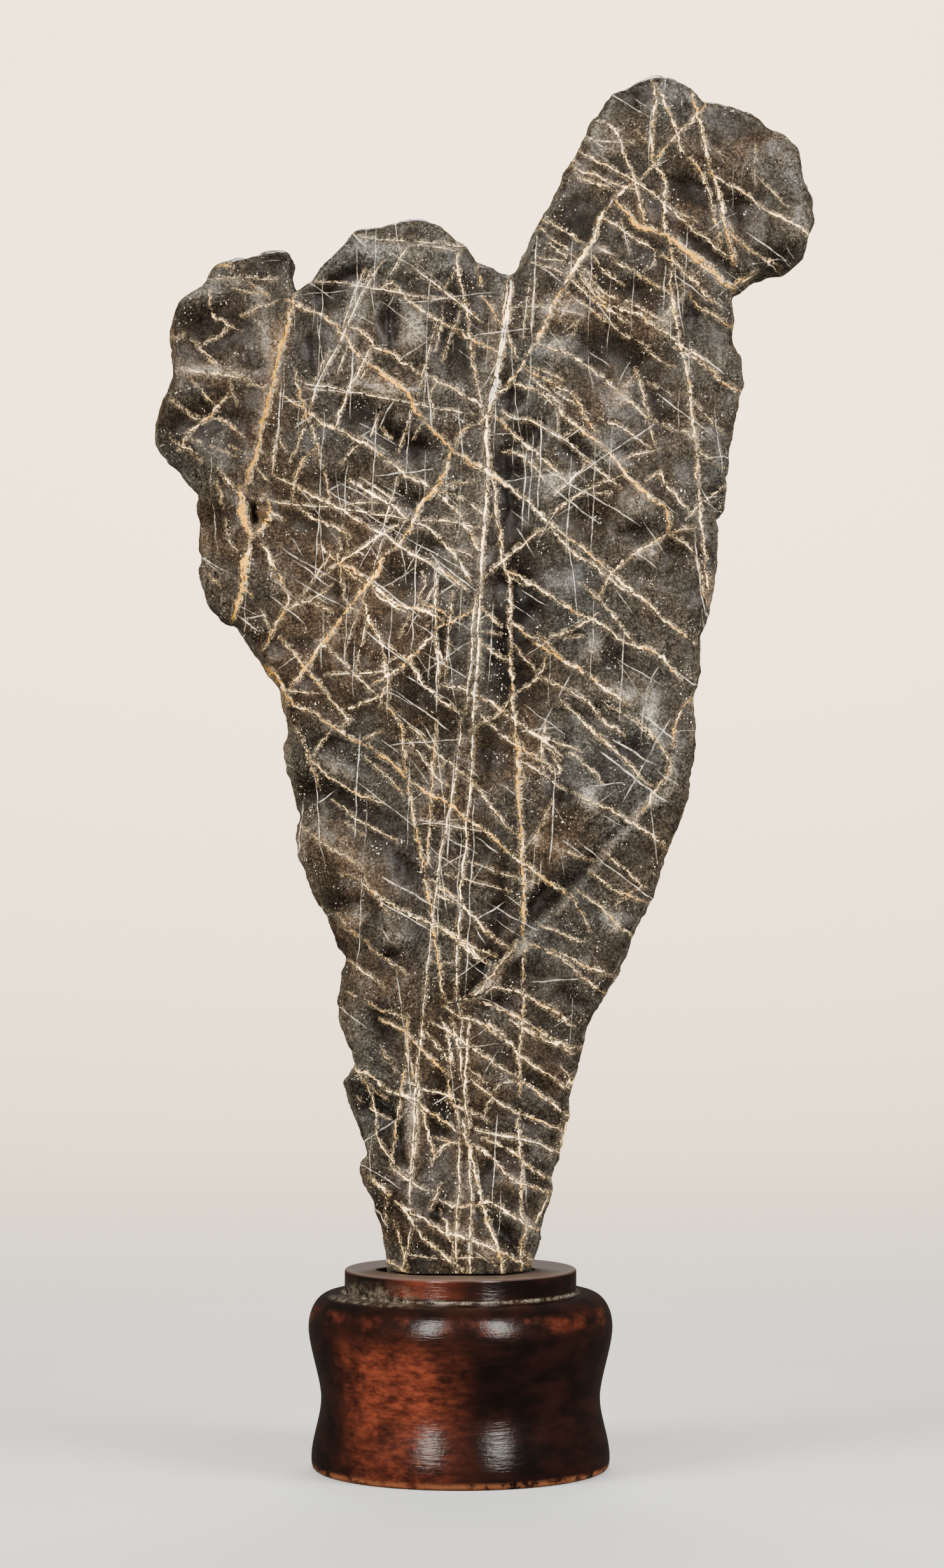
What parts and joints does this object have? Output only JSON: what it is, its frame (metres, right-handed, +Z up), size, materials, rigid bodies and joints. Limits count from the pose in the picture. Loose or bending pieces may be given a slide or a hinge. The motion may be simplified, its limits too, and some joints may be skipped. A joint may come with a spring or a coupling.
{
  "type": "suiseki",
  "caption": "Upright fan-shaped slab of dark veined limestone whose narrow foot stands in the slotted collar of a small turned hardwood stand; a display stone.",
  "frame": {"origin": "the centre of the stand's flat underside", "axes": "+Z up, +X to the viewer's right, -Y towards the viewer, who looks at the slab's broad face"},
  "size_m": [0.1398, 0.0648, 0.295],
  "materials": {
    "stone": "polished dark limestone with pale and rust calcite veins",
    "stand": "gloss lacquer on dark red-brown hardwood"
  },
  "bodies": {
    "root": {"stone": "stone", "stand": "stand"}
  },
  "joints": []
}
